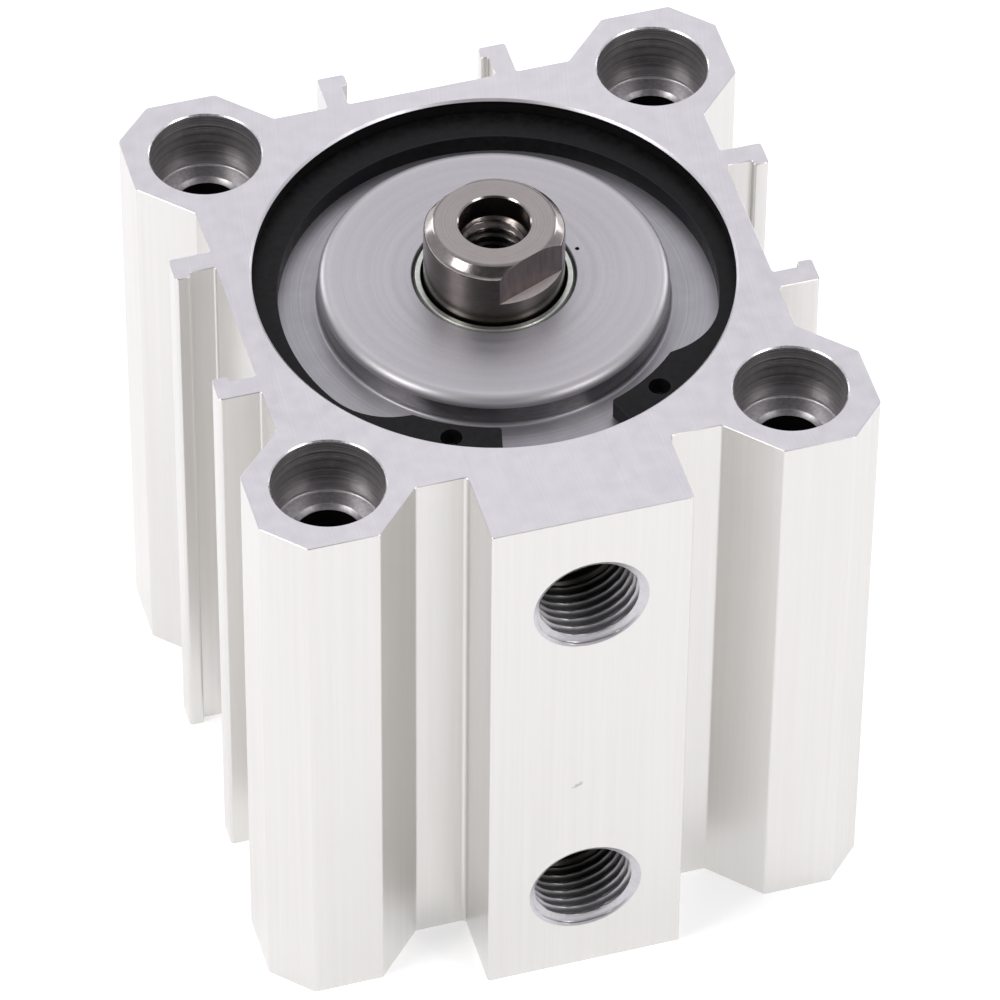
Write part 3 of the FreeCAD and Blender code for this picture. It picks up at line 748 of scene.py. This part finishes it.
# ------------------------------------------------------------------ piston rod
FLAT_Z, FLAT_AF, FLAT_TURN = 58.9, 10.0, 22.0
rod = turned("rod", rounded([
    (0, ROD_BOTTOM, 0), (3.4, ROD_BOTTOM, 0.1), (4.0, ROD_BOTTOM + 0.6, 0.1), (4.0, 20.5, 0.2), (5.7, 20.5, 0.1),
    (6.0, 20.8, 0.1), (6.0, ROD_TOP - 0.85, 0.7), (5.15, ROD_TOP, 0.6), (0, ROD_TOP, 0)], 8), 192)
for turn in (FLAT_TURN, FLAT_TURN + 180):
    slab = [(-15, FLAT_AF / 2), (15, FLAT_AF / 2), (15, 12), (-15, 12)]
    s = layers("slab", [(slab, FLAT_Z), (slab, ROD_TOP + 3)])
    s.data.transform(Matrix.Rotation(math.radians(turn), 4, "Z"))
    cut(rod, s)
bevel(rod, 0.09, 3, 25)
T_PITCH, T_MINOR, T_MAJOR, T_DEPTH = 1.0, 2.46, MOUNTS["rod_thread"]["dims"]["r_mm"], 12.9
LEAD_R, LEAD_DEPTH = 3.02, 2.3


def rod_thread(t, a):
    r = thread_radius(t, a, T_PITCH, T_MINOR, T_MAJOR)
    lead = LEAD_R + max(0.0, 0.13 - t) if t < LEAD_DEPTH else LEAD_R - (t - LEAD_DEPTH) * 1.2
    if t > T_DEPTH - 1.2:
        r = T_MINOR + (r - T_MINOR) * max(0.0, (T_DEPTH - 0.1 - t) / 1.1)
    r = max(r, lead)
    if t > T_DEPTH:
        r = T_MINOR - (t - T_DEPTH) * 1.73
    return max(r, 0.05)


thread = field("thread_cut", [-1.0, 0.0] + [0.06 * i for i in range(1, 218)] + [13.3, 14.1], rod_thread, 80)
thread.data.transform(Matrix.Translation((0, 0, ROD_TOP * MM)) @ Matrix.Rotation(math.pi, 4, "X"))
cut(rod, thread)

k = Net("ground_rod_steel", metallic=1.0, roughness=0.2, aniso=0.75)
k.tangent()
x, y, z = k.split()
r = k.radius()
grind = k.noise(k.scale(0.15, 0.15, 1), 7000, 3, 0.6)
patch = k.noise(k.obj, 500, 4, 0.6)
col = k.ramp(grind, (0.3, (0.145, 0.128, 0.121)), (0.7, (0.19, 0.169, 0.160)))
col = k.mix(k.range(patch, 0.4, 0.7, 0.0, 0.35), col, (0.105, 0.093, 0.089))
k.put(col, "Base Color")
k.put(k.range(patch, 0.3, 0.7, 0.17, 0.24), "Roughness")
k.put(k.bump(grind, 0.00001, 0.25), "Normal")
M_ROD = k.m
k = Net("rod_thread_wall", metallic=1.0, roughness=0.25)
x, y, z = k.split()
v = k.noise(k.obj, 2500, 3, 0.6)
col = k.ramp(v, (0.3, (0.20, 0.175, 0.165)), (0.7, (0.36, 0.32, 0.30)))
# darker deeper into the threaded hole: painted shade
col = k.mix(k.range(z, (ROD_TOP - 5) * MM, (ROD_TOP - 1) * MM, 1.0, 0.0), col, (0.03, 0.027, 0.027))
k.put(col, "Base Color")
k.put(k.bump(v, 0.00001, 0.3), "Normal")
M_RODTHREAD = k.m
# end face in a lighter tone than the rod's ground side: painted light on the up-facing face
k = Net("rod_end_face", metallic=1.0, roughness=0.24, aniso=0.4)
k.tangent()
r = k.radius()
rings = k.noise(r, 8000, 3, 0.6, dims="1D")
patch = k.noise(k.obj, 900, 4, 0.6)
col = k.ramp(rings, (0.3, (0.33, 0.30, 0.29)), (0.7, (0.38, 0.348, 0.34)))
col = k.mix(k.range(patch, 0.4, 0.7, 0.0, 0.4), col, (0.31, 0.28, 0.275))
k.put(col, "Base Color")
k.put(k.bump(rings, 0.00001, 0.15), "Normal")
M_RODFACE = k.m
# edge chamfer: the lighter tone is painted sheen, the lower roughness is the polish
k = Net("rod_edge_polish_and_sheen", metallic=1.0, roughness=0.16, aniso=0.3)
k.tangent()
v = k.noise(k.obj, 1500, 4, 0.6)
k.put(k.ramp(v, (0.3, (0.32, 0.29, 0.282)), (0.7, (0.41, 0.376, 0.367))), "Base Color")
k.put(k.range(v, 0.3, 0.7, 0.14, 0.22), "Roughness")
k.put(k.bump(v, 0.00001, 0.2), "Normal")
M_RODEDGE = k.m
# wrench flats: a darker milled wall above a pale step; the step's pale tone is painted light on the up-facing face
k = Net("milled_flat", metallic=1.0, roughness=0.26)
v = k.noise(k.scale(1, 1, 0.12), 3200, 3, 0.6)
k.put(k.ramp(v, (0.3, (0.135, 0.112, 0.112)), (0.7, (0.19, 0.162, 0.162))), "Base Color")
k.put(k.bump(v, 0.00001, 0.3), "Normal")
M_RODFLAT = k.m
k = Net("milled_step_painted_light", metallic=0.55, roughness=0.5, spec=0.5)
v = k.noise(k.obj, 1800, 4, 0.6)
k.put(k.ramp(v, (0.3, (0.76, 0.70, 0.68)), (0.7, (0.88, 0.825, 0.80))), "Base Color")
k.put(k.bump(v, 0.00002, 0.3), "Normal")
M_RODSTEP_LIT = k.m


def on_flat(c, n):
    a = math.radians(FLAT_TURN)
    across = -c.x * math.sin(a) + c.y * math.cos(a)
    return c.z > FLAT_Z - 0.05 and abs(abs(across) - FLAT_AF / 2) < 0.06 and abs(n.z) < 0.3


for m in (M_ROD, M_RODTHREAD, M_RODFACE, M_RODEDGE, M_RODFLAT, M_RODSTEP_LIT):
    rod.data.materials.append(m)
classify(rod, [
    (1, lambda c, n: radial(c) < 3.3 and ROD_TOP - 14.5 < c.z < ROD_TOP - 0.11),
    (4, on_flat),
    (5, lambda c, n: n.z > 0.9 and abs(c.z - FLAT_Z) < 0.15),
    (2, lambda c, n: n.z > 0.97 and c.z > ROD_TOP - 0.1),
    (3, lambda c, n: n.z > 0.12 and c.z > FLAT_Z - 0.2),
])
finish_mesh(rod, 28)
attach(rod, "rod_assembly")
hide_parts("piston_rod")

# ------------------------------------------------------------------ carried-over pieces inside
k = Net("nitrile", metallic=0.0, roughness=0.62, spec=0.4)
v = k.noise(k.obj, 1800, 4, 0.6)
k.put(k.ramp(v, (0.3, (0.012, 0.012, 0.012)), (0.7, (0.03, 0.03, 0.031))), "Base Color")
k.put(k.range(v, 0.3, 0.7, 0.5, 0.72), "Roughness")
k.put(k.bump(v, 0.00002, 0.3), "Normal")
M_SEAL = k.m
k = Net("urethane_bumper", metallic=0.0, roughness=0.5, spec=0.45)
v = k.noise(k.obj, 1200, 4, 0.6)
k.put(k.ramp(v, (0.3, (0.03, 0.03, 0.034)), (0.7, (0.055, 0.055, 0.06))), "Base Color")
k.put(k.bump(v, 0.00002, 0.3), "Normal")
M_BUMPER = k.m
k = Net("turned_piston", metallic=0.9, roughness=0.3, aniso=0.4)
k.tangent()
r = k.radius()
x, y, z = k.split()
v = k.noise(k.math("ADD", r, z), 6000, 3, 0.6, dims="1D")
k.put(k.ramp(v, (0.3, (0.58, 0.58, 0.59)), (0.7, (0.72, 0.72, 0.73))), "Base Color")
k.put(k.bump(v, 0.00002, 0.3), "Normal")
M_PISTON = k.m
k = Net("bonded_ferrite", metallic=0.0, roughness=0.7, spec=0.3)
v = k.noise(k.obj, 3000, 5, 0.7)
k.put(k.ramp(v, (0.3, (0.035, 0.03, 0.03)), (0.7, (0.09, 0.08, 0.078))), "Base Color")
k.put(k.bump(v, 0.00003, 0.4), "Normal")
M_MAGNET = k.m
k = Net("bearing_plastic", metallic=0.0, roughness=0.5, spec=0.4)
v = k.noise(k.obj, 2000, 4, 0.6)
k.put(k.ramp(v, (0.3, (0.60, 0.56, 0.44)), (0.7, (0.74, 0.70, 0.58))), "Base Color")
k.put(k.bump(v, 0.00002, 0.3), "Normal")
M_WEAR = k.m
k = Net("zinc_plated_nut", metallic=1.0, roughness=0.3)
v = k.noise(k.obj, 1600, 4, 0.6)
k.put(k.ramp(v, (0.3, (0.52, 0.51, 0.48)), (0.7, (0.70, 0.69, 0.66))), "Base Color")
k.put(k.range(v, 0.3, 0.7, 0.24, 0.4), "Roughness")
k.put(k.bump(v, 0.00002, 0.3), "Normal")
M_NUT = k.m
for node, m in (("rod_seal", M_SEAL), ("rod_cover_oring", M_SEAL), ("rear_cover_oring", M_SEAL),
                ("piston_rod_oring", M_SEAL), ("piston_seal_front", M_SEAL), ("piston_seal_rear", M_SEAL),
                ("front_bumper", M_BUMPER), ("rear_bumper", M_BUMPER), ("piston_front", M_PISTON),
                ("piston_rear", M_PISTON), ("piston_magnet", M_MAGNET), ("wear_ring", M_WEAR), ("piston_nut", M_NUT)):
    o = NODES[node]
    o.data.materials.clear()
    o.data.materials.append(m)

# ------------------------------------------------------------------ stage, light and camera
bm = bmesh.new()
bmesh.ops.create_grid(bm, x_segments=2, y_segments=2, size=1.6)
floor = new_object("floor", bm)
k = Net("pale_floor", metallic=0.0, roughness=0.75, spec=0.2)
k.b.inputs["Emission Color"].default_value = (1.0, 1.0, 1.0, 1.0)
k.b.inputs["Emission Strength"].default_value = 0.465
v = k.noise(k.obj, 6, 3, 0.5)
k.put(k.ramp(v, (0.3, (0.93, 0.93, 0.93)), (0.7, (0.95, 0.95, 0.95))), "Base Color")
floor.data.materials.append(k.m)

scene = bpy.context.scene
scene.view_settings.view_transform = "Standard"
scene.view_settings.look = "None"
world = bpy.data.worlds.new("studio")
scene.world = world
world.use_nodes = True
bg = world.node_tree.nodes["Background"]
coords = world.node_tree.nodes.new("ShaderNodeTexCoord")
toward = world.node_tree.nodes.new("ShaderNodeVectorMath")
toward.operation = "DOT_PRODUCT"
toward.inputs[1].default_value = (-0.192, -0.652, 0.734)
ramp = world.node_tree.nodes.new("ShaderNodeValToRGB")
ramp.color_ramp.interpolation = "EASE"
ramp.color_ramp.elements[0].position, ramp.color_ramp.elements[0].color = 0.80, (0.90, 0.885, 0.93, 1)
ramp.color_ramp.elements[1].position, ramp.color_ramp.elements[1].color = 0.95, (0.16, 0.155, 0.16, 1)
world.node_tree.links.new(coords.outputs["Generated"], toward.inputs[0])
world.node_tree.links.new(toward.outputs["Value"], ramp.inputs["Fac"])
world.node_tree.links.new(ramp.outputs["Color"], bg.inputs["Color"])
bg.inputs["Strength"].default_value = 0.62


def area(name, at, to, size, power, color=(1, 1, 1)):
    d = bpy.data.lights.new(name, "AREA")
    d.shape = "RECTANGLE"
    d.size, d.size_y = size
    d.energy = power
    d.color = color
    o = bpy.data.objects.new(name, d)
    o.location = at
    o.rotation_euler = (Vector(to) - Vector(at)).to_track_quat("-Z", "Y").to_euler()
    scene.collection.objects.link(o)
    return o


area("left", (-0.66, -0.16, 0.66), (0, 0, 0.05), (0.28, 0.28), 2.0, (1.0, 0.99, 0.98))
area("back_left", (-0.46, 0.80, 0.31), (0, 0, 0.05), (0.26, 0.5), 1.2, (0.99, 0.99, 1.0))
area("back_right", (0.82, 0.44, 0.31), (0, 0, 0.05), (0.26, 0.5), 1.2, (0.99, 0.99, 1.0))
area("front_right", (0.48, -0.6, 0.58), (0, 0, 0.05), (0.3, 0.3), 1.3, (1.0, 0.99, 0.98))
area("top", (0.17, 0.58, 0.74), (0, 0, 0.05), (0.8, 0.6), 0.72, (0.985, 0.98, 1.0))

cam_data = bpy.data.cameras.new("camera")
cam = bpy.data.objects.new("camera", cam_data)
scene.collection.objects.link(cam)
AZ, EL, ROLL = math.radians(-16.438), math.radians(47.189), math.radians(0.559)
DIST, TARGET = 0.71376, Vector((2.376, 5.607, 21.787)) * MM
back = Vector((math.sin(AZ) * math.cos(EL), -math.cos(AZ) * math.cos(EL), math.sin(EL)))
right = Vector((0, 0, 1)).cross(back).normalized()
up = back.cross(right).normalized()
r2 = math.cos(ROLL) * right + math.sin(ROLL) * up
u2 = -math.sin(ROLL) * right + math.cos(ROLL) * up
cam.matrix_world = Matrix.Translation(TARGET + back * DIST) @ Matrix((r2, u2, back)).transposed().to_4x4()
cam_data.sensor_width = 36.0
cam_data.lens = 8088.1 / 1000 * 36.0
cam_data.clip_start, cam_data.clip_end = 0.05, 10.0
cam_data.dof.use_dof = False
scene.camera = cam
